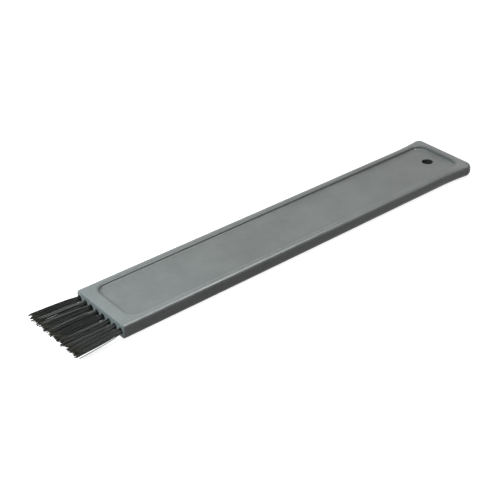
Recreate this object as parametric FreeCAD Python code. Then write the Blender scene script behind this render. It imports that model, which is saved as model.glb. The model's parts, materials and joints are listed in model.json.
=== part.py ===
"""Flat-handled cleaning brush: a moulded handle, a row of bristle tufts set into its end face,
and the flat metal anchor that holds each tuft in its hole.

Millimetres. X runs along the brush, from the bristles at -X to the hanging hole at +X, Y runs across it
and Z is up. The origin lies under the middle of the whole brush, on the underside that it rests on.
"""

import FreeCAD, Part
import os
from math import sqrt

Vector = FreeCAD.Vector

# Handle, moulded in one piece
HANDLE_LENGTH = 120.0  # bristle face to far end
HANDLE_WIDTH = 20.0  # across the straight sides
HANDLE_THICKNESS = 4.1
FLARE_LENGTH = 12.0  # stretch at the far end where the sides curve outwards
FLARE = 0.9  # how far each side stands out at the far end
FAR_CORNER_RADIUS = 2.0  # far corners, seen from above
NEAR_CORNER_RADIUS = 0.45  # upright edges beside the bristle face
FACE_EDGE_RADIUS = 0.4  # edges above and below the bristle face
NEAR_UPPER_EDGE_RADIUS = 1.15  # long edges at the bristle end, from where the rounding grows evenly
NEAR_LOWER_EDGE_RADIUS = 0.9
FAR_UPPER_EDGE_RADIUS = 1.5  # the same edges at the far end
FAR_LOWER_EDGE_RADIUS = 1.8
EDGE_SHARE = 0.45  # of the thickness: the most that a rounded edge takes
CORNER_MARGIN = 0.15  # the least by which a far corner is rounder from above than from the side

# Recessed panel in the upper face
PANEL_NEAR_DEPTH = 0.75  # at the bristle end, from where the floor slopes down evenly
PANEL_FAR_DEPTH = 1.0  # at the far end
PANEL_SIDE_RIM = 2.4  # straight side to panel wall
PANEL_NEAR_LAND = 3.6  # bristle face to panel wall
PANEL_FAR_LAND = 3.0  # far end to panel wall
PANEL_CORNER_RADIUS = 2.8
PANEL_LIP_RADIUS = 0.38
PANEL_FOOT_RADIUS = 0.34

# Hanging hole through the panel floor
HANGING_HOLE_DIAMETER = 3.0
HANGING_HOLE_FROM_END = 7.7
HANGING_HOLE_RIM_RADIUS = 0.35

# Row of blind tuft holes in the bristle face
TUFT_COUNT = 8
TUFT_HOLE_DIAMETER = 1.7
TUFT_HOLE_DEPTH = 7.0
ROW_SIDE_WALL = 0.47  # wall between an outermost hole and the side

# Tufts, each a bundle of filaments folded round its anchor
BRISTLE_LENGTH = 13.4  # free length of the longest filaments
TUFT_CLEARANCE = 0.05  # all round, between bundle and hole
TUFT_TIP_GAP = 0.45  # left between neighbours at their tips
ROW_FAN = 0.08  # how much wider the row is at the tips, as a share of its width at the face
FOLD_RADIUS = 0.5  # rounding of the folded end

# Anchors, cut from flat wire and driven across the holes
ANCHOR_THICKNESS = 0.35
ANCHOR_WIDTH = 1.5  # along the hole
ANCHOR_BITE = 0.25  # how far each end cuts into the hole's wall
FOLD_THICKNESS = 0.7  # filaments between the anchor and the bottom of the tuft

# Places worked out from the sizes above
OVERALL_LENGTH = HANDLE_LENGTH + BRISTLE_LENGTH
TIP_X = -OVERALL_LENGTH / 2
FACE_X = TIP_X + BRISTLE_LENGTH
END_X = OVERALL_LENGTH / 2
HALF_WIDTH = HANDLE_WIDTH / 2
ROW_Z = HANDLE_THICKNESS / 2
TUFT_PITCH = (HANDLE_WIDTH - 2 * ROW_SIDE_WALL - TUFT_HOLE_DIAMETER) / (TUFT_COUNT - 1)
TUFT_DIAMETER = TUFT_HOLE_DIAMETER - 2 * TUFT_CLEARANCE
TUFT_TIP_DIAMETER = TUFT_PITCH * (1 + ROW_FAN) - TUFT_TIP_GAP
FOLD_X = FACE_X + TUFT_HOLE_DEPTH - TUFT_CLEARANCE
TINY = 1e-6  # closer than this is the same place


def row_positions():
    """The Y of each tuft's hole, from the -Y side."""
    first = -TUFT_PITCH * (TUFT_COUNT - 1) / 2
    return [first + TUFT_PITCH * i for i in range(TUFT_COUNT)]


def flare_half_width(x):
    """Half the handle's width at x, on an arc that leaves the straight side without a kink."""
    radius = (FLARE_LENGTH**2 + FLARE**2) / (2 * FLARE)
    along = x - (END_X - FLARE_LENGTH)
    return HALF_WIDTH + radius - sqrt(radius**2 - along**2)


def handle_outline():
    """The handle from above: straight sides that flare at the far end, all corners still sharp."""
    flare_x = END_X - FLARE_LENGTH
    middle_x = END_X - FLARE_LENGTH / 2

    def point(x, side):
        half = flare_half_width(x) if x > flare_x else HALF_WIDTH
        return Vector(x, side * half, 0)

    def flare(side):
        return Part.Arc(point(flare_x, side), point(middle_x, side), point(END_X, side)).toShape()

    edges = [
        Part.makeLine(point(FACE_X, -1), point(flare_x, -1)),
        flare(-1),
        Part.makeLine(point(END_X, -1), point(END_X, 1)),
        flare(1),
        Part.makeLine(point(flare_x, 1), point(FACE_X, 1)),
        Part.makeLine(point(FACE_X, 1), point(FACE_X, -1)),
    ]
    return Part.Face(Part.Wire(Part.sortEdges(edges)[0]))


def is_upright(edge):
    low, high = edge.valueAt(edge.FirstParameter), edge.valueAt(edge.LastParameter)
    return abs(low.x - high.x) < TINY and abs(low.y - high.y) < TINY


def edge_radius(point):
    """Rounding of the upper or the lower edges at a point: it grows evenly from the bristle end."""
    near, far = NEAR_LOWER_EDGE_RADIUS, FAR_LOWER_EDGE_RADIUS
    if point.z > HANDLE_THICKNESS / 2:
        near, far = NEAR_UPPER_EDGE_RADIUS, FAR_UPPER_EDGE_RADIUS
    radius = near + (far - near) * (point.x - FACE_X) / HANDLE_LENGTH
    return min(radius, EDGE_SHARE * HANDLE_THICKNESS, FAR_CORNER_RADIUS - CORNER_MARGIN)


def rounded_blank():
    """The handle's outer shape, with every outer edge rounded."""
    blank = handle_outline().extrude(Vector(0, 0, HANDLE_THICKNESS))
    far_corners = [e for e in blank.Edges if is_upright(e) and e.CenterOfMass.x > END_X - TINY]
    blank = blank.makeFillet(FAR_CORNER_RADIUS, far_corners)

    radii = []
    for number, edge in enumerate(blank.Edges, start=1):
        start, end = edge.valueAt(edge.FirstParameter), edge.valueAt(edge.LastParameter)
        at_face = max(start.x, end.x) < FACE_X + TINY
        if is_upright(edge) and at_face:
            radii.append((number, NEAR_CORNER_RADIUS, NEAR_CORNER_RADIUS))
        elif is_upright(edge):
            continue
        elif at_face:
            radii.append((number, FACE_EDGE_RADIUS, FACE_EDGE_RADIUS))
        else:
            radii.append((number, edge_radius(start), edge_radius(end)))

    document = FreeCAD.newDocument()
    base = document.addObject("Part::Feature", "Blank")
    base.Shape = blank
    rounding = document.addObject("Part::Fillet", "Rounding")
    rounding.Base = base
    rounding.Edges = radii
    document.recompute()
    return rounding.Shape.Solids[0].copy()


def panel_tool():
    """What the recessed panel takes away: a rounded rectangle with a sloping floor and a rounded foot."""
    low_x, high_x = FACE_X + PANEL_NEAR_LAND, END_X - PANEL_FAR_LAND
    half = HALF_WIDTH - PANEL_SIDE_RIM
    above = HANDLE_THICKNESS + PANEL_FAR_DEPTH
    corners = [
        Vector(low_x, -half, above),
        Vector(low_x, -half, HANDLE_THICKNESS - PANEL_NEAR_DEPTH),
        Vector(high_x, -half, HANDLE_THICKNESS - PANEL_FAR_DEPTH),
        Vector(high_x, -half, above),
    ]
    tool = Part.Face(Part.makePolygon(corners + corners[:1])).extrude(Vector(0, 2 * half, 0))
    tool = tool.makeFillet(PANEL_CORNER_RADIUS, [e for e in tool.Edges if is_upright(e)])
    foot = [e for e in tool.Edges if e.BoundBox.ZMax < HANDLE_THICKNESS - PANEL_NEAR_DEPTH + TINY]
    return tool.makeFillet(PANEL_FOOT_RADIUS, foot)


def tuft_hole(y):
    """A blind hole along X, drilled from the bristle face, with a cone at its bottom."""
    radius = TUFT_HOLE_DIAMETER / 2
    outside = radius
    start = Vector(FACE_X - outside, y, ROW_Z)
    bottom = Vector(FACE_X + TUFT_HOLE_DEPTH, y, ROW_Z)
    bore = Part.makeCylinder(radius, TUFT_HOLE_DEPTH + outside, start, Vector(1, 0, 0))
    point = Part.makeCone(radius, 0, radius / 2, bottom, Vector(1, 0, 0))
    return bore.fuse(point)


def anchor(y):
    """A flat metal strip that stands upright across the hole, both ends cut into its wall."""
    high_x = FOLD_X - FOLD_THICKNESS
    half_height = TUFT_HOLE_DIAMETER / 2 + ANCHOR_BITE
    corner = Vector(high_x - ANCHOR_WIDTH, y - ANCHOR_THICKNESS / 2, ROW_Z - half_height)
    return Part.makeBox(ANCHOR_WIDTH, ANCHOR_THICKNESS, 2 * half_height, corner)


def handle():
    body = rounded_blank().cut(panel_tool())
    inside = PANEL_SIDE_RIM - TINY
    lip = [
        e
        for e in body.Edges
        if e.BoundBox.ZMin > HANDLE_THICKNESS - TINY
        and e.BoundBox.XMin > FACE_X + PANEL_NEAR_LAND - TINY
        and e.BoundBox.XMax < END_X - PANEL_FAR_LAND + TINY
        and max(-e.BoundBox.YMin, e.BoundBox.YMax) < HALF_WIDTH - inside
    ]
    body = body.makeFillet(PANEL_LIP_RADIUS, lip)

    hole_x = END_X - HANGING_HOLE_FROM_END
    hole = Part.makeCylinder(HANGING_HOLE_DIAMETER / 2, HANDLE_THICKNESS, Vector(hole_x, 0, 0))
    body = body.cut(hole)
    rims = [
        e
        for e in body.Edges
        if isinstance(e.Curve, (Part.Circle, Part.Ellipse))
        and (e.Curve.Center - Vector(hole_x, 0, e.Curve.Center.z)).Length < TINY
    ]
    body = body.makeFillet(HANGING_HOLE_RIM_RADIUS, rims)

    for y in row_positions():
        body = body.cut(tuft_hole(y).fuse(anchor(y)))
    return body.Solids[0]


def tuft(y):
    """One bundle as a closed solid: its root fills the hole round the anchor, and its free end
    widens towards the tips and leans outwards with the row."""
    radius, tip_radius = TUFT_DIAMETER / 2, TUFT_TIP_DIAMETER / 2
    root = Part.makeCylinder(radius, FOLD_X - FACE_X, Vector(FACE_X, y, ROW_Z), Vector(1, 0, 0))
    fold = [e for e in root.Edges if e.BoundBox.XMin > FOLD_X - TINY]
    root = root.makeFillet(FOLD_RADIUS, fold)

    along = Vector(1, 0, 0)
    face_circle = Part.makeCircle(radius, Vector(FACE_X, y, ROW_Z), along)
    tip_circle = Part.makeCircle(tip_radius, Vector(TIP_X, y * (1 + ROW_FAN), ROW_Z), along)
    free = Part.makeLoft([Part.Wire(tip_circle), Part.Wire(face_circle)], True, True)
    return root.fuse(free).cut(anchor(y)).Solids[0]


def main():
    os.makedirs("parts", exist_ok=True)
    pieces = {"handle": handle()}
    for number, y in enumerate(row_positions(), start=1):
        pieces[f"tuft_{number}"] = tuft(y)
        pieces[f"anchor_{number}"] = anchor(y)
    for name, shape in pieces.items():
        if not shape.isValid() or shape.Volume <= 0:
            raise ValueError(f"{name} is not a sound solid")
        shape.exportStep(os.path.join("parts", f"{name}.step"))
    print(f"{len(pieces)} pieces, {OVERALL_LENGTH:.1f} mm long overall, tufts every {TUFT_PITCH:.2f} mm")


main()
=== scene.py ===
"""Looks of the flat-handled cleaning brush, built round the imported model.

Metres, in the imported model's frame: the brush lies on z = 0 with its bristles at -X, and the sections follow
it as it is put together: the handle, the anchors, the bristles, then the table it lies on, lamps and camera.
"""

import json
from math import cos, pi, radians, sin

import bpy
from mathutils import Matrix, Vector


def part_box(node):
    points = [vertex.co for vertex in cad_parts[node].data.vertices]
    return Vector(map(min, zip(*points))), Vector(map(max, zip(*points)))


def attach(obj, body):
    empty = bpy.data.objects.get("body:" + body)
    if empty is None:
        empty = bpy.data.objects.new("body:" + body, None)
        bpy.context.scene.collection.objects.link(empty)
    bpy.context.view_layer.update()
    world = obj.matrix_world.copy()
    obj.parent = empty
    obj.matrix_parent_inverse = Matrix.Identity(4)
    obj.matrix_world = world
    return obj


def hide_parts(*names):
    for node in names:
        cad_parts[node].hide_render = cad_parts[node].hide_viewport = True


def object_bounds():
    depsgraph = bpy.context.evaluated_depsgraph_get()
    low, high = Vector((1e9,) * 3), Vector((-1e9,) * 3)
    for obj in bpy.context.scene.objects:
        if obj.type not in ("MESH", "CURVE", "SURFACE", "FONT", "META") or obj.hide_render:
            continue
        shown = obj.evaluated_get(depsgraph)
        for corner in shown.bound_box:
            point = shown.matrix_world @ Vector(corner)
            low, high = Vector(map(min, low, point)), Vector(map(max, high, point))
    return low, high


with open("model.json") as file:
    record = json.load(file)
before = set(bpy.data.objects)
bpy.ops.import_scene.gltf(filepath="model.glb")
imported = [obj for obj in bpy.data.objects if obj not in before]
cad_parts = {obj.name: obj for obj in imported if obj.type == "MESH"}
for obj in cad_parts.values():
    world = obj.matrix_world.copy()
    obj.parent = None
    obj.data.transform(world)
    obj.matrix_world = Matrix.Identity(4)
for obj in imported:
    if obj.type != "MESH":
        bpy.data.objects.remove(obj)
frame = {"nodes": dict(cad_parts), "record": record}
cad_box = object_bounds()


# ---------------------------------------------------------------------------------------------------------
# Handle: one injection moulding in grey plastic, satin with a very fine grain. The tone drifts a little where
# the melt flowed. The edges are smoother from handling, and a shade paler, partly from wear and partly as a
# painted highlight. Painted shade darkens a line round the recessed panel, and the hanging hole's wall.
# ---------------------------------------------------------------------------------------------------------
MM = 0.001

HANDLE_GREY = (0.208, 0.215, 0.210, 1.0)
HANDLE_GREY_PALE = (0.256, 0.263, 0.257, 1.0)
PANEL_GREY = (0.185, 0.191, 0.185, 1.0)
PANEL_GREY_PALE = (0.231, 0.238, 0.231, 1.0)
# painted shade: the grey of the dark line round the panel's lip
SHADE_LINE_GREY = (0.120, 0.128, 0.125, 1.0)
# paler edges: partly wear from handling, partly a painted highlight
WORN_HIGHLIGHT_GREY = (0.272, 0.281, 0.276, 1.0)
HOLE_SHADE_GREY = (0.045, 0.047, 0.045, 1.0)  # painted shade on the hanging hole's wall
HANDLE_ROUGHNESS = 0.41
ROUGHNESS_DROP = 0.03  # where the tone is darkest
ROUGHNESS_RISE = 0.04  # where it is palest
WORN_ROUGHNESS = 0.34
HANDLE_GLOSS = 0.34  # specular level

MELT_CLOUD_SIZE = 9 * MM
MOTTLE_SIZE = 1.3 * MM
GRAIN_SIZE = 0.16 * MM
GRAIN_DEPTH = 0.012 * MM
GRAIN_STRENGTH = 0.8
NOISE_LOW = 0.3  # most of a noise's values lie between these two
NOISE_HIGH = 0.7
MOTTLE_SHARE = 0.16  # of the tone, up or down
RUB_LOW = 0.35  # of the mottle: where an edge is least and most rubbed
RUB_HIGH = 0.65
RUBBED_LEAST = 0.25
RUBBED_MOST = 0.6

STRAIGHT_WIDTH = 20.0 * MM  # of the handle, before it flares
PANEL_SIDE_RIM = 2.4 * MM  # the recessed panel's outline, from the handle's sides and ends
PANEL_NEAR_LAND = 3.6 * MM
PANEL_FAR_LAND = 3.0 * MM
PANEL_CORNER_RADIUS = 2.8 * MM
FLOOR_BELOW = 0.88  # the panel's floor lies under this share of the thickness
FLOOR_SLANT = 0.75  # upward part of a normal: under this it is wall, and over the next it is floor
FLOOR_LEVEL = 0.98
SHADE_LINE_PLACE = 0.3 * MM  # middle of the painted-shade line round the panel, out from its wall
SHADE_LINE_REACH = 0.55 * MM  # of that line, to each side
SHADE_LINE_CORE = 0.2  # share of the reach where the painted shade is darkest
SHADE_LINE_SHARE = 0.55
HOLE_FROM_END = 7.7 * MM
HOLE_RADIUS = 1.5 * MM
HOLE_DARK_WITHIN = 1.02  # shares of that radius between which the hole's painted shade fades out
HOLE_UNSHADED_BEYOND = 1.12


def feed(tree, socket, value):
    """Puts a value on a socket, or links it to another node's output."""
    if isinstance(value, bpy.types.NodeSocket):
        tree.links.new(value, socket)
    else:
        socket.default_value = value


def node(tree, kind, inputs=None, **settings):
    """Adds a node with its settings, and its inputs by name or number."""
    made = tree.nodes.new(kind)
    for name, value in settings.items():
        setattr(made, name, value)
    for place, value in (inputs or {}).items():
        feed(tree, made.inputs[place], value)
    return made


def maths(tree, operation, *values):
    """A Math node's result."""
    return node(tree, "ShaderNodeMath", dict(enumerate(values)), operation=operation).outputs[0]


def vector_maths(tree, operation, *values):
    """A Vector Math node's result."""
    return node(tree, "ShaderNodeVectorMath", dict(enumerate(values)), operation=operation).outputs[0]


def distance_between(tree, across, along):
    """The length of a flat step with these two sides, both at least 0."""
    squares = maths(tree, "ADD", maths(tree, "POWER", across, 2.0), maths(tree, "POWER", along, 2.0))
    return maths(tree, "SQRT", squares)


def blend_colours(tree, share, first, second):
    """The mix of two colours, all of the second where share is 1."""
    mix = node(tree, "ShaderNodeMix", data_type="RGBA")
    for name, value in (("Factor_Float", share), ("A_Color", first), ("B_Color", second)):
        feed(tree, next(s for s in mix.inputs if s.identifier == name), value)
    return next(s for s in mix.outputs if s.identifier == "Result_Color")


def new_group(name, kind, inputs, outputs):
    """A node group with named sockets, and its input and output nodes."""
    tree = bpy.data.node_groups.new(name, kind)
    for label, socket_kind, value in inputs:
        socket = tree.interface.new_socket(label, in_out="INPUT", socket_type=socket_kind)
        if value is not None:
            socket.default_value = value
    for label, socket_kind in outputs:
        tree.interface.new_socket(label, in_out="OUTPUT", socket_type=socket_kind)
    return tree, tree.nodes.new("NodeGroupInput").outputs, tree.nodes.new("NodeGroupOutput").inputs


def noise_group():
    """Skin tone, shared by every material: a cloudy mask, a finer mottle and a grain height, by size."""
    tree, given, result = new_group(
        "skin_tone",
        "ShaderNodeTree",
        [
            ("Cloud Size", "NodeSocketFloat", MELT_CLOUD_SIZE),
            ("Mottle Size", "NodeSocketFloat", MOTTLE_SIZE),
            ("Grain Size", "NodeSocketFloat", GRAIN_SIZE),
        ],
        [("Cloud", "NodeSocketFloat"), ("Mottle", "NodeSocketFloat"), ("Grain", "NodeSocketFloat")],
    )
    place = node(tree, "ShaderNodeTexCoord").outputs["Object"]
    for size, output, detail in (
        ("Cloud Size", "Cloud", 3.0),
        ("Mottle Size", "Mottle", 2.0),
        ("Grain Size", "Grain", 2.0),
    ):
        per_metre = maths(tree, "DIVIDE", 1.0, given[size])
        pattern = {"Vector": place, "Scale": per_metre, "Detail": detail, "Roughness": 0.5}
        feed(tree, result[output], node(tree, "ShaderNodeTexNoise", pattern).outputs[0])
    return tree


def edge_group():
    """Edge wear and painted highlight: 0 on the flat faces and up to 1 where a rounded edge turns between
    them.
    """
    tree, given, result = new_group(
        "edge_wear_and_highlight",
        "ShaderNodeTree",
        [("From", "NodeSocketFloat", 0.03), ("To", "NodeSocketFloat", 0.28)],
        [("Mask", "NodeSocketFloat")],
    )
    facing = node(tree, "ShaderNodeTexCoord").outputs["Normal"]
    size = vector_maths(tree, "ABSOLUTE", facing)
    x, y, z = node(tree, "ShaderNodeSeparateXYZ", {0: size}).outputs
    flattest = maths(tree, "MAXIMUM", maths(tree, "MAXIMUM", x, y), z)
    turned = maths(tree, "SUBTRACT", 1.0, flattest)
    mask = node(
        tree,
        "ShaderNodeMapRange",
        {"Value": turned, "From Min": given["From"], "From Max": given["To"]},
        interpolation_type="SMOOTHSTEP",
    )
    feed(tree, result["Mask"], mask.outputs[0])
    return tree


skin_tone = noise_group()
edge_wear_and_highlight = edge_group()


def new_material(name):
    """A material with only its output and its Principled shader."""
    material = bpy.data.materials.new(name)
    material.use_nodes = True
    tree = material.node_tree
    tree.nodes.clear()
    shader = node(tree, "ShaderNodeBsdfPrincipled")
    node(tree, "ShaderNodeOutputMaterial", {"Surface": shader.outputs[0]})
    return material, tree, shader.inputs


def use_group(tree, group, **inputs):
    """Places a node group in a tree and gives its outputs."""
    placed = node(tree, "ShaderNodeGroup", node_tree=group)
    for name, value in inputs.items():
        feed(tree, placed.inputs[name.replace("_", " ")], value)
    return placed.outputs


def ranged(tree, value, low, high, to_low=0.0, to_high=1.0):
    """A value taken from one range to another."""
    return node(
        tree,
        "ShaderNodeMapRange",
        {"Value": value, "From Min": low, "From Max": high, "To Min": to_low, "To Max": to_high},
    ).outputs[0]


def panel_masks(tree):
    """Masks of the recessed panel: its floor, the line of painted shade round it, and the hanging hole's
    shaded wall.
    """
    low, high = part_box("handle")
    coordinates = node(tree, "ShaderNodeTexCoord").outputs
    x, y, z = node(tree, "ShaderNodeSeparateXYZ", {0: coordinates["Object"]}).outputs
    up = node(tree, "ShaderNodeSeparateXYZ", {0: coordinates["Normal"]}).outputs[2]
    off_middle = maths(tree, "ABSOLUTE", y)
    sunk = maths(tree, "LESS_THAN", z, low[2] + FLOOR_BELOW * (high[2] - low[2]))
    floor = maths(tree, "MULTIPLY", sunk, ranged(tree, up, FLOOR_SLANT, FLOOR_LEVEL))

    start, end = low[0] + PANEL_NEAR_LAND, high[0] - PANEL_FAR_LAND
    half_length, half_width = (end - start) / 2, STRAIGHT_WIDTH / 2 - PANEL_SIDE_RIM
    along = maths(tree, "ABSOLUTE", maths(tree, "SUBTRACT", x, (start + end) / 2))
    along = maths(tree, "SUBTRACT", along, half_length - PANEL_CORNER_RADIUS)
    across = maths(tree, "SUBTRACT", off_middle, half_width - PANEL_CORNER_RADIUS)
    past_end = maths(tree, "MAXIMUM", along, 0.0)
    past_side = maths(tree, "MAXIMUM", across, 0.0)
    outside = maths(tree, "SUBTRACT", distance_between(tree, past_end, past_side), PANEL_CORNER_RADIUS)
    from_line = maths(tree, "ABSOLUTE", maths(tree, "SUBTRACT", outside, SHADE_LINE_PLACE))
    line = ranged(tree, from_line, SHADE_LINE_REACH, SHADE_LINE_CORE * SHADE_LINE_REACH)

    from_hole = maths(tree, "ABSOLUTE", maths(tree, "SUBTRACT", x, high[0] - HOLE_FROM_END))
    from_axis = distance_between(tree, from_hole, off_middle)
    hole = ranged(tree, from_axis, HOLE_UNSHADED_BEYOND * HOLE_RADIUS, HOLE_DARK_WITHIN * HOLE_RADIUS)
    return floor, line, hole


def handle_plastic():
    material, tree, surface = new_material("grey_moulded_plastic")
    skin = use_group(tree, skin_tone)
    worn = use_group(tree, edge_wear_and_highlight)["Mask"]

    cloud = ranged(tree, skin["Cloud"], NOISE_LOW, NOISE_HIGH)
    mottle = ranged(tree, skin["Mottle"], NOISE_LOW, NOISE_HIGH, -MOTTLE_SHARE, MOTTLE_SHARE)
    tone = maths(tree, "ADD", cloud, mottle)
    floor, line, hole = panel_masks(tree)
    body = blend_colours(tree, tone, HANDLE_GREY, HANDLE_GREY_PALE)
    body = blend_colours(tree, floor, body, blend_colours(tree, tone, PANEL_GREY, PANEL_GREY_PALE))
    rub = ranged(tree, skin["Mottle"], RUB_LOW, RUB_HIGH, RUBBED_LEAST, RUBBED_MOST)
    # Paler rounded edges: partly wear from handling, partly a painted highlight along them.
    body = blend_colours(tree, maths(tree, "MULTIPLY", worn, rub), body, WORN_HIGHLIGHT_GREY)
    # Painted shade round the panel's lip; its mask reads length and width only, so it reaches the underside
    # too.
    body = blend_colours(tree, maths(tree, "MULTIPLY", line, SHADE_LINE_SHARE), body, SHADE_LINE_GREY)
    # Painted shade: the hanging hole's wall is painted near-black, as if in shadow.
    feed(tree, surface["Base Color"], blend_colours(tree, hole, body, HOLE_SHADE_GREY))

    smoothest, roughest = HANDLE_ROUGHNESS - ROUGHNESS_DROP, HANDLE_ROUGHNESS + ROUGHNESS_RISE
    matt = ranged(tree, skin["Cloud"], NOISE_LOW, NOISE_HIGH, smoothest, roughest)
    smooth = maths(tree, "MULTIPLY", worn, HANDLE_ROUGHNESS - WORN_ROUGHNESS)
    feed(tree, surface["Roughness"], maths(tree, "SUBTRACT", matt, smooth))
    surface["Specular IOR Level"].default_value = HANDLE_GLOSS

    height = {"Height": skin["Grain"], "Distance": GRAIN_DEPTH, "Strength": GRAIN_STRENGTH}
    feed(tree, surface["Normal"], node(tree, "ShaderNodeBump", height).outputs[0])
    return material


def finish_node(name, material):
    """Gives a carried-over node its material."""
    piece = frame["nodes"][name]
    piece.data.materials.clear()
    piece.data.materials.append(material)


finish_node("handle", handle_plastic())


# ---------------------------------------------------------------------------------------------------------
# Anchors: short lengths of flat brass wire, one across each hole, under the fold of its tuft. They were cut
# and driven in by the tufting machine, so they are bright with a little tarnish.
# ---------------------------------------------------------------------------------------------------------
BRASS = (0.72, 0.55, 0.27, 1.0)
TARNISH = (0.40, 0.27, 0.11, 1.0)
TARNISH_LOW = 0.45  # of the cloudy noise: where tarnish starts and where it is full
TARNISH_HIGH = 0.7
BRASS_SMOOTHEST = 0.26
BRASS_ROUGHEST = 0.42
WIRE_GRAIN_DEPTH = 0.003 * MM

slots = {part["node"]: part["material_slot"] for part in frame["record"]["subparts"]}
anchor_names = sorted(name for name, slot in slots.items() if slot == "anchor_brass")


def anchor_brass():
    material, tree, surface = new_material("brass_flat_wire")
    skin = use_group(tree, skin_tone, Cloud_Size=0.8 * MM, Mottle_Size=0.2 * MM, Grain_Size=0.05 * MM)
    stain = ranged(tree, skin["Cloud"], TARNISH_LOW, TARNISH_HIGH)
    feed(tree, surface["Base Color"], blend_colours(tree, stain, BRASS, TARNISH))
    surface["Metallic"].default_value = 1.0
    rough = ranged(tree, skin["Mottle"], NOISE_LOW, NOISE_HIGH, BRASS_SMOOTHEST, BRASS_ROUGHEST)
    feed(tree, surface["Roughness"], rough)
    height = {"Height": skin["Grain"], "Distance": WIRE_GRAIN_DEPTH}
    feed(tree, surface["Normal"], node(tree, "ShaderNodeBump", height).outputs[0])
    return material


brass = anchor_brass()
for name in anchor_names:
    finish_node(name, brass)


# ---------------------------------------------------------------------------------------------------------
# Bristles: each tuft is a bundle of black nylon filaments, folded in half over its anchor and driven into
# its hole. The legs spread a little from the mouth to the trimmed tips, which are ragged and worn brown.
# ---------------------------------------------------------------------------------------------------------
FILAMENT_RADIUS = 0.095 * MM
FOLDED_FILAMENTS = 31  # in each tuft, each with two legs
FILAMENT_SIDES = 5
LEG_STATIONS = 8  # from the fold to a tip, the mouth among them
MOUTH_STATION = 4  # before it come the fold, its shoulder and the anchor's two faces
BUNDLE_RADIUS = 0.8 * MM  # in the hole
GOLDEN_SHARE = 0.618034  # of a turn from one filament to the next, which spreads them evenly
FOLD_STACK = 0.7  # of the depth behind the anchor: what the folds take, one inside the next
SHOULDER = 0.5  # of the way from the anchor to the end of a fold
HALVES_APART = 0.2  # of a filament's radius: each half of a bundle from its middle, outside the hole
TIP_SPREAD = 1.16  # radius of the tips' bundle, as a share of the tuft's tip radius
SPREAD_LEAST = 0.78  # of that, for one leg
SPREAD_MOST = 1.06
STRAY_RARITY = 6.0  # higher is rarer
STRAY_REACH = 0.32  # what the furthest stray adds to its spread
TIP_SCATTER = 0.16 * MM  # of a tip, to each side
TRIM_SCATTER = 1.2 * MM  # of a tip, along the bristles
TRIM_BIAS = 0.9  # under 1, more legs are short than long
TIP_MARGIN = 0.01 * MM  # kept inside the tuft's box
BOW = 0.16 * MM
SWELL = 0.5  # how soon a bundle widens outside its hole: 1 is evenly, less is sooner
FIRST_SEED = 21
DRAW_STEP = 1000.0  # parts the numbers of one random draw from the next one's

NYLON_BLACK = (0.005, 0.005, 0.0046, 1.0)
# Pale legs: partly greyer filaments, partly a painted sheen for the light streaks along the bristles.
NYLON_SHEEN_GREY = (0.17, 0.17, 0.159, 1.0)
PALE_RARITY = 5.0  # higher is rarer
DUST_LOW = 0.4  # of the mottle: where dust starts and where it is full
DUST_HIGH = 0.75
DUST_MOST = 0.06
TIP_BROWN = (0.050, 0.037, 0.023, 1.0)
BROWN_FROM = 0.86  # of the free length
BROWN_LEAST = 0.3  # at a tip
BROWN_MOST = 0.9
NYLON_SMOOTHEST = 0.50
NYLON_ROUGHEST = 0.66
NYLON_GLOSS = 0.22  # specular level
NYLON_GRAIN_DEPTH = 0.004 * MM

handle_low, handle_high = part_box("handle")
face_x = handle_low[0]
row_z = (handle_low[2] + handle_high[2]) / 2


def nylon():
    material, tree, surface = new_material("black_nylon")
    skin = use_group(tree, skin_tone, Cloud_Size=2.5 * MM, Mottle_Size=0.5 * MM, Grain_Size=0.08 * MM)
    tint = node(tree, "ShaderNodeAttribute", attribute_name="tint").outputs["Fac"]
    along = node(tree, "ShaderNodeAttribute", attribute_name="along").outputs["Fac"]
    dust = ranged(tree, skin["Mottle"], DUST_LOW, DUST_HIGH, 0.0, DUST_MOST)
    shade = maths(tree, "ADD", maths(tree, "POWER", tint, PALE_RARITY), dust)
    # Some legs paler: partly their own grey, partly a painted sheen.
    body = blend_colours(tree, shade, NYLON_BLACK, NYLON_SHEEN_GREY)
    brown = ranged(tree, tint, 0.0, 1.0, BROWN_LEAST, BROWN_MOST)
    worn = maths(tree, "MULTIPLY", ranged(tree, along, BROWN_FROM, 1.0), brown)
    feed(tree, surface["Base Color"], blend_colours(tree, worn, body, TIP_BROWN))
    feed(tree, surface["Roughness"], ranged(tree, tint, 0.0, 1.0, NYLON_SMOOTHEST, NYLON_ROUGHEST))
    surface["Specular IOR Level"].default_value = NYLON_GLOSS
    height = {"Height": skin["Grain"], "Distance": NYLON_GRAIN_DEPTH}
    feed(tree, surface["Normal"], node(tree, "ShaderNodeBump", height).outputs[0])
    return material


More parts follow.
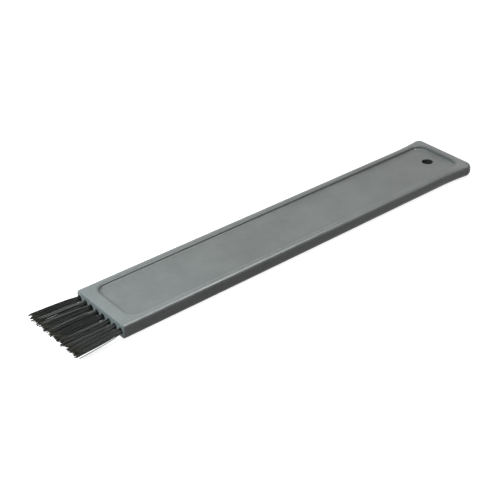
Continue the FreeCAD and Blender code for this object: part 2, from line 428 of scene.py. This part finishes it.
def tuft_tree():
    """The tree of one tuft: folded filaments round the anchor, fanned from the mouth to the tips."""
    number, whole, place = "NodeSocketFloat", "NodeSocketInt", "NodeSocketVector"
    tree, given, result = new_group(
        "tuft_of_folded_filaments",
        "GeometryNodeTree",
        [
            ("Mouth", place, None),
            ("Tips", place, None),
            ("Hole Radius", number, None),
            ("Tip Radius", number, None),
            ("Filament Radius", number, None),
            ("Folded Filaments", whole, 1),
            ("Fold X", number, None),
            ("Anchor Low X", number, None),
            ("Anchor High X", number, None),
            ("Anchor Half", number, None),
            ("Trim Scatter", number, None),
            ("Bow", number, None),
            ("Swell", number, 1.0),
            ("Room Low", place, None),
            ("Room High", place, None),
            ("Seed", whole, 0),
            ("Material", "NodeSocketMaterial", None),
        ],
        [("Geometry", "NodeSocketGeometry")],
    )

    def calc(operation, *values):
        return maths(tree, operation, *values)

    def vector(x, y, z):
        return node(tree, "ShaderNodeCombineXYZ", {0: x, 1: y, 2: z}).outputs[0]

    def between(start, end, share):
        return calc("ADD", start, calc("MULTIPLY", share, calc("SUBTRACT", end, start)))

    # One folded filament for each point, as a line with a point at every station of both legs
    points = 2 * LEG_STATIONS + 1
    line = node(tree, "GeometryNodeCurvePrimitiveLine")
    line = node(tree, "GeometryNodeResampleCurve", {"Curve": line.outputs[0], "Count": points})
    starts = node(tree, "GeometryNodePoints", {"Count": given["Folded Filaments"]})
    strands = node(
        tree, "GeometryNodeInstanceOnPoints", {"Points": starts.outputs[0], "Instance": line.outputs[0]}
    )
    strands = node(tree, "GeometryNodeRealizeInstances", {0: strands.outputs[0]}).outputs[0]

    index = node(tree, "GeometryNodeInputIndex").outputs[0]
    strand = calc("FLOOR", calc("DIVIDE", calc("ADD", index, 0.5), points))
    station = calc("SUBTRACT", index, calc("MULTIPLY", strand, points))
    from_fold = calc("SUBTRACT", station, LEG_STATIONS)
    side = calc("SIGN", from_fold)
    rank = calc("ABSOLUTE", from_fold)
    leg = calc("ADD", calc("MULTIPLY", strand, 2.0), calc("GREATER_THAN", from_fold, 0.5))

    def chance(low, high, draw):
        """A random value that stays the same along a leg."""
        made = node(tree, "FunctionNodeRandomValue", data_type="FLOAT")
        key = calc("ADD", leg, DRAW_STEP * draw)
        for name, value in (("Min_001", low), ("Max_001", high), ("ID", key), ("Seed", given["Seed"])):
            feed(tree, next(s for s in made.inputs if s.identifier == name), value)
        return next(s for s in made.outputs if s.identifier == "Value_001")

    # Place in the half bundle: an even spread over a half disc
    share = calc("DIVIDE", calc("ADD", strand, 0.5), given["Folded Filaments"])
    reach = calc("SQRT", share)
    turn = calc("FRACT", calc("MULTIPLY", strand, GOLDEN_SHARE))
    angle = calc("MULTIPLY", calc("SUBTRACT", turn, 0.5), pi)
    out = calc("MULTIPLY", reach, calc("COSINE", angle))
    rise = calc("MULTIPLY", reach, calc("SINE", angle))

    mouth_x, mouth_y, mouth_z = node(tree, "ShaderNodeSeparateXYZ", {0: given["Mouth"]}).outputs
    tips_x, tips_y, tips_z = node(tree, "ShaderNodeSeparateXYZ", {0: given["Tips"]}).outputs
    anchor_near, anchor_far = given["Anchor Low X"], given["Anchor High X"]
    thick = given["Filament Radius"]
    hole_reach = calc("SUBTRACT", given["Hole Radius"], calc("MULTIPLY", thick, 2.0))
    anchor_reach = calc("SUBTRACT", hole_reach, given["Anchor Half"])
    tip_reach = calc("SUBTRACT", given["Tip Radius"], calc("MULTIPLY", thick, 2.0))

    # Inside: round the fold and past the anchor
    beside = calc("ADD", calc("ADD", given["Anchor Half"], thick), calc("MULTIPLY", out, anchor_reach))
    off_fold = calc("SUBTRACT", 1.0, calc("LESS_THAN", rank, 0.5))
    aside = calc("MULTIPLY", calc("MULTIPLY", side, beside), off_fold)
    inside_y = calc("ADD", mouth_y, aside)
    inside_z = calc("ADD", mouth_z, calc("MULTIPLY", rise, hole_reach))
    fold_depth = calc("SUBTRACT", given["Fold X"], thick)
    layers = calc("MULTIPLY", out, calc("SUBTRACT", fold_depth, anchor_far))
    fold_end = calc("ADD", calc("ADD", anchor_far, thick), calc("MULTIPLY", layers, FOLD_STACK))
    to_shoulder = calc("MULTIPLY", calc("SUBTRACT", fold_end, anchor_far), SHOULDER)
    shoulder = calc("ADD", anchor_far, to_shoulder)
    inside_x = node(tree, "GeometryNodeIndexSwitch", data_type="FLOAT")
    while len(inside_x.index_switch_items) < MOUTH_STATION:
        inside_x.index_switch_items.new()
    feed(tree, inside_x.inputs["Index"], rank)
    for item, value in enumerate((fold_end, shoulder, anchor_far, anchor_near), start=1):
        feed(tree, inside_x.inputs[item], value)
    inside = vector(inside_x.outputs[0], inside_y, inside_z)

    # Outside: from the mouth to the tips, a little bowed, with a few strays and ragged ends
    free = calc("DIVIDE", calc("SUBTRACT", rank, MOUTH_STATION), LEG_STATIONS - MOUTH_STATION)
    along = calc("MAXIMUM", free, 0.0)
    apart = calc("MULTIPLY", thick, HALVES_APART)
    mouth_out = calc("MULTIPLY", side, calc("ADD", apart, calc("MULTIPLY", out, hole_reach)))
    mouth_rise = calc("MULTIPLY", rise, hole_reach)
    stray = calc("POWER", chance(0.0, 1.0, 1), STRAY_RARITY)
    spread = calc("ADD", chance(SPREAD_LEAST, SPREAD_MOST, 2), calc("MULTIPLY", stray, STRAY_REACH))
    tip_out = calc("MULTIPLY", side, calc("ADD", apart, calc("MULTIPLY", out, tip_reach)))
    tip_out = calc("MULTIPLY", tip_out, spread)
    tip_out = calc("ADD", tip_out, chance(-TIP_SCATTER, TIP_SCATTER, 3))
    tip_rise = calc("MULTIPLY", calc("MULTIPLY", rise, tip_reach), spread)
    tip_rise = calc("ADD", tip_rise, chance(-TIP_SCATTER, TIP_SCATTER, 4))
    bulge = calc("MULTIPLY", calc("MULTIPLY", free, calc("SUBTRACT", 1.0, free)), 4.0)
    bow = calc("MULTIPLY", bulge, given["Bow"])
    trim = calc("MULTIPLY", calc("POWER", chance(0.0, 1.0, 5), TRIM_BIAS), given["Trim Scatter"])
    end_x = calc("ADD", tips_x, trim)

    swell = calc("POWER", along, given["Swell"])
    outside_x = between(mouth_x, end_x, free)
    outside_y = calc("ADD", between(mouth_y, tips_y, free), between(mouth_out, tip_out, swell))
    outside_y = calc("ADD", outside_y, calc("MULTIPLY", bow, chance(-1.0, 1.0, 6)))
    outside_z = calc("ADD", between(mouth_z, tips_z, free), between(mouth_rise, tip_rise, swell))
    outside_z = calc("ADD", outside_z, calc("MULTIPLY", bow, chance(-1.0, 1.0, 7)))
    padding = vector(thick, thick, thick)
    room_low = vector_maths(tree, "ADD", given["Room Low"], padding)
    room_high = vector_maths(tree, "SUBTRACT", given["Room High"], padding)
    outside = vector_maths(tree, "MAXIMUM", vector(outside_x, outside_y, outside_z), room_low)
    outside = vector_maths(tree, "MINIMUM", outside, room_high)

    spot = node(tree, "GeometryNodeSwitch", input_type="VECTOR")
    feed(tree, spot.inputs["Switch"], calc("GREATER_THAN", rank, MOUTH_STATION - 0.5))
    feed(tree, spot.inputs["False"], inside)
    feed(tree, spot.inputs["True"], outside)
    moved = {"Geometry": strands, "Position": spot.outputs[0]}
    strands = node(tree, "GeometryNodeSetPosition", moved).outputs[0]

    # What the material reads: a tint for each leg, and how far along the free length a point is
    for name, value in (("tint", chance(0.0, 1.0, 8)), ("along", along)):
        kept = {"Geometry": strands, "Name": name}
        stored = node(tree, "GeometryNodeStoreNamedAttribute", kept, domain="POINT")
        stored.data_type = "FLOAT"
        feed(tree, stored.inputs["Value"], value)
        strands = stored.outputs[0]

    ring = {"Resolution": FILAMENT_SIDES, "Radius": thick}
    profile = node(tree, "GeometryNodeCurvePrimitiveCircle", ring).outputs[0]
    swept = {"Curve": strands, "Profile Curve": profile, "Fill Caps": True}
    tubes = node(tree, "GeometryNodeCurveToMesh", swept)
    tubes = node(tree, "GeometryNodeSetShadeSmooth", {0: tubes.outputs[0]})
    tubes = node(tree, "GeometryNodeRealizeInstances", {0: tubes.outputs[0]})
    finished = {"Geometry": tubes.outputs[0], "Material": given["Material"]}
    tubes = node(tree, "GeometryNodeSetMaterial", finished)
    feed(tree, result["Geometry"], tubes.outputs[0])
    return tree


def grow(name, tree, values):
    """Runs a tree with its named inputs on a new object, and leaves a plain mesh."""
    start = bpy.data.objects.new(name + "_start", bpy.data.meshes.new(name + "_start"))
    bpy.context.collection.objects.link(start)
    modifier = start.modifiers.new("grow", "NODES")
    modifier.node_group = tree
    for socket in tree.interface.items_tree:
        if socket.in_out == "INPUT":
            modifier[socket.identifier] = values[socket.name]
    evaluated = start.evaluated_get(bpy.context.evaluated_depsgraph_get())
    mesh = bpy.data.meshes.new_from_object(evaluated)
    bpy.data.objects.remove(start)
    mesh.name = name
    piece = bpy.data.objects.new(name, mesh)
    bpy.context.collection.objects.link(piece)
    return piece


black_nylon = nylon()
tuft_shape = tuft_tree()
tuft_names = sorted(name for name, slot in slots.items() if slot == "bristle_nylon")

for tuft_number, name in enumerate(tuft_names, start=1):
    low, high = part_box(name)
    anchor_low, anchor_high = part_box(name.replace("tuft", "anchor"))
    mouth_y = (anchor_low[1] + anchor_high[1]) / 2
    tip_radius = (high[2] - low[2]) / 2
    outward = 1 if mouth_y > 0 else -1
    tip_y = (high[1] if outward > 0 else low[1]) - outward * tip_radius
    piece = grow(
        f"bristles_{tuft_number}",
        tuft_shape,
        {
            "Mouth": (face_x, mouth_y, row_z),
            "Tips": (low[0] + TIP_MARGIN, tip_y, row_z),
            "Hole Radius": BUNDLE_RADIUS,
            "Tip Radius": tip_radius * TIP_SPREAD,
            "Filament Radius": FILAMENT_RADIUS,
            "Folded Filaments": FOLDED_FILAMENTS,
            "Fold X": high[0],
            "Anchor Low X": anchor_low[0],
            "Anchor High X": anchor_high[0],
            "Anchor Half": (anchor_high[1] - anchor_low[1]) / 2,
            "Trim Scatter": TRIM_SCATTER,
            "Bow": BOW,
            "Swell": SWELL,
            "Room Low": tuple(cad_box[0]),
            "Room High": tuple(cad_box[1]),
            "Seed": FIRST_SEED + tuft_number - 1,
            "Material": black_nylon,
        },
    )
    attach(piece, "root")
    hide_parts(name)


# ---------------------------------------------------------------------------------------------------------
# Table and room: a plain white sheet under the brush, in a plain white room. The camera, gloss and glass see
# both as white, with the brush's soft shadow on the sheet, which can't be seen from below. All other light
# passes the sheet, and comes from the room at a much lower level.
# ---------------------------------------------------------------------------------------------------------
WHITE = (1.0, 1.0, 1.0, 1.0)
TABLE_REACH = 6.0
TABLE_DROP = 0.02 * MM  # below the brush, so that no two faces share a plane
TABLE_GLOW = 0.90
TABLE_WHITE = (0.42, 0.42, 0.42, 1.0)
ROOM_LEVEL = 0.06
BELOW_LEVEL = 0.03
HORIZON_BLEND = 0.4  # height on a ball of radius 1, to each side of the horizon, where the levels mix


def clear_tree(owner):
    """An empty node tree for a material or a world."""
    owner.use_nodes = True
    owner.node_tree.nodes.clear()
    return owner.node_tree


def seen_mask(tree):
    """1 for the rays that show what is behind the brush: to the camera, to gloss and through glass."""
    rays = node(tree, "ShaderNodeLightPath").outputs
    mirrored = maths(tree, "MAXIMUM", rays["Is Camera Ray"], rays["Is Glossy Ray"])
    return maths(tree, "MAXIMUM", mirrored, rays["Is Transmission Ray"])


corners = [(x * TABLE_REACH, y * TABLE_REACH, -TABLE_DROP) for x, y in ((-1, -1), (1, -1), (1, 1), (-1, 1))]
table_mesh = bpy.data.meshes.new("table_top")
table_mesh.from_pydata(corners, [], [(0, 1, 2, 3)])
table_top = bpy.data.objects.new("table_top", table_mesh)
bpy.context.collection.objects.link(table_top)

table_white = bpy.data.materials.new("table_white")
tree = clear_tree(table_white)
seen = seen_mask(tree)
under = node(tree, "ShaderNodeNewGeometry").outputs["Backfacing"]
glow = node(tree, "ShaderNodeEmission", {"Color": WHITE, "Strength": TABLE_GLOW})
sheet = node(tree, "ShaderNodeBsdfDiffuse", {"Color": TABLE_WHITE})
top = node(tree, "ShaderNodeAddShader", {0: glow.outputs[0], 1: sheet.outputs[0]})
past = node(tree, "ShaderNodeBsdfTransparent")
shows = maths(tree, "MULTIPLY", seen, maths(tree, "SUBTRACT", 1.0, under))
both = node(tree, "ShaderNodeMixShader", {0: shows, 1: past.outputs[0], 2: top.outputs[0]})
node(tree, "ShaderNodeOutputMaterial", {"Surface": both.outputs[0]})
table_mesh.materials.append(table_white)

room = bpy.data.worlds.new("room")
bpy.context.scene.world = room
tree = clear_tree(room)
seen = seen_mask(tree)
direction = node(tree, "ShaderNodeTexCoord").outputs["Generated"]
height = node(tree, "ShaderNodeSeparateXYZ", {0: direction}).outputs[2]
plain = ranged(tree, height, -HORIZON_BLEND, HORIZON_BLEND, BELOW_LEVEL, ROOM_LEVEL)
level = maths(tree, "ADD", seen, maths(tree, "MULTIPLY", plain, maths(tree, "SUBTRACT", 1.0, seen)))
air = node(tree, "ShaderNodeBackground", {"Color": WHITE, "Strength": level})
node(tree, "ShaderNodeOutputWorld", {"Surface": air.outputs[0]})


# ---------------------------------------------------------------------------------------------------------
# Lamps: a broad softbox high over the brush, towards its far half, and a cool one beyond the bristle end. A
# small cool card stands close over the bristles, and a card on the -Y side only gleams along edges there.
# ---------------------------------------------------------------------------------------------------------
def softbox(name, azimuth, elevation, distance, sides, watts, colour, target=(0.0, 0.0, 0.0)):
    """A lamp seen from the target at an azimuth from +X, turned to +Y, and an elevation, in degrees."""
    data = bpy.data.lights.new(name, "AREA")
    data.shape = "RECTANGLE"
    data.size, data.size_y = sides
    data.energy = watts
    data.color = colour
    lamp = bpy.data.objects.new(name, data)
    bpy.context.collection.objects.link(lamp)
    lamp.visible_camera = False
    a, e = radians(azimuth), radians(elevation)
    towards = Vector((cos(a) * cos(e), sin(a) * cos(e), sin(e)))
    lamp.location = Vector(target) + towards * distance
    lamp.rotation_mode = "QUATERNION"
    lamp.rotation_quaternion = towards.to_track_quat("Z", "Y")
    return lamp


softbox(
    "overhead_softbox", azimuth=10, elevation=68, distance=0.38, sides=(0.40, 0.16), watts=0.66,
    colour=(1.0, 0.985, 0.96),
)
edge_card = softbox(
    "edge_card", azimuth=-52, elevation=45, distance=0.35, sides=(0.13, 0.10), watts=1.30,
    colour=(0.96, 1.0, 1.0), target=(-0.024, -0.01, 0.0),
)
edge_card.visible_diffuse = False  # a gleam only
softbox(
    "cool_softbox", azimuth=165, elevation=55, distance=0.55, sides=(0.35, 0.35), watts=1.15,
    colour=(0.86, 0.97, 1.0),
)
softbox(
    "bristle_card", azimuth=165, elevation=46, distance=0.085, sides=(0.05, 0.05), watts=0.064,
    colour=(0.78, 0.96, 1.0), target=(-0.060, 0.0, 0.0),
)


# ---------------------------------------------------------------------------------------------------------
# Camera: a long lens above the brush, beyond its bristle end and to its -Y side. It looks down on the brush
# from there, rolled by about a degree.
# ---------------------------------------------------------------------------------------------------------
HEADING = radians(50.933)  # of the view, from +X
DOWNWARD = radians(32.366)
ROLL = radians(-1.1986)
CAMERA_PLACE = Vector((-0.1668, -0.19655, 0.16115))
LENS = 83.71  # in millimetres, as the sensor
SENSOR = 36.0
NEAREST_SEEN = 0.01
FURTHEST_SEEN = 20.0

forward = Vector((cos(DOWNWARD) * cos(HEADING), cos(DOWNWARD) * sin(HEADING), -sin(DOWNWARD)))
right = Vector((sin(HEADING), -cos(HEADING), 0.0))
upward = right.cross(forward)
right, upward = right * cos(ROLL) + upward * sin(ROLL), upward * cos(ROLL) - right * sin(ROLL)
camera_data = bpy.data.cameras.new("camera")
camera_data.lens = LENS
camera_data.sensor_width = SENSOR
camera_data.clip_start = NEAREST_SEEN
camera_data.clip_end = FURTHEST_SEEN
camera = bpy.data.objects.new("camera", camera_data)
bpy.context.collection.objects.link(camera)
axes = Matrix((right, upward, -forward)).transposed()
camera.matrix_world = Matrix.Translation(CAMERA_PLACE) @ axes.to_4x4()
bpy.context.scene.camera = camera
bpy.context.scene.view_settings.view_transform = "Standard"
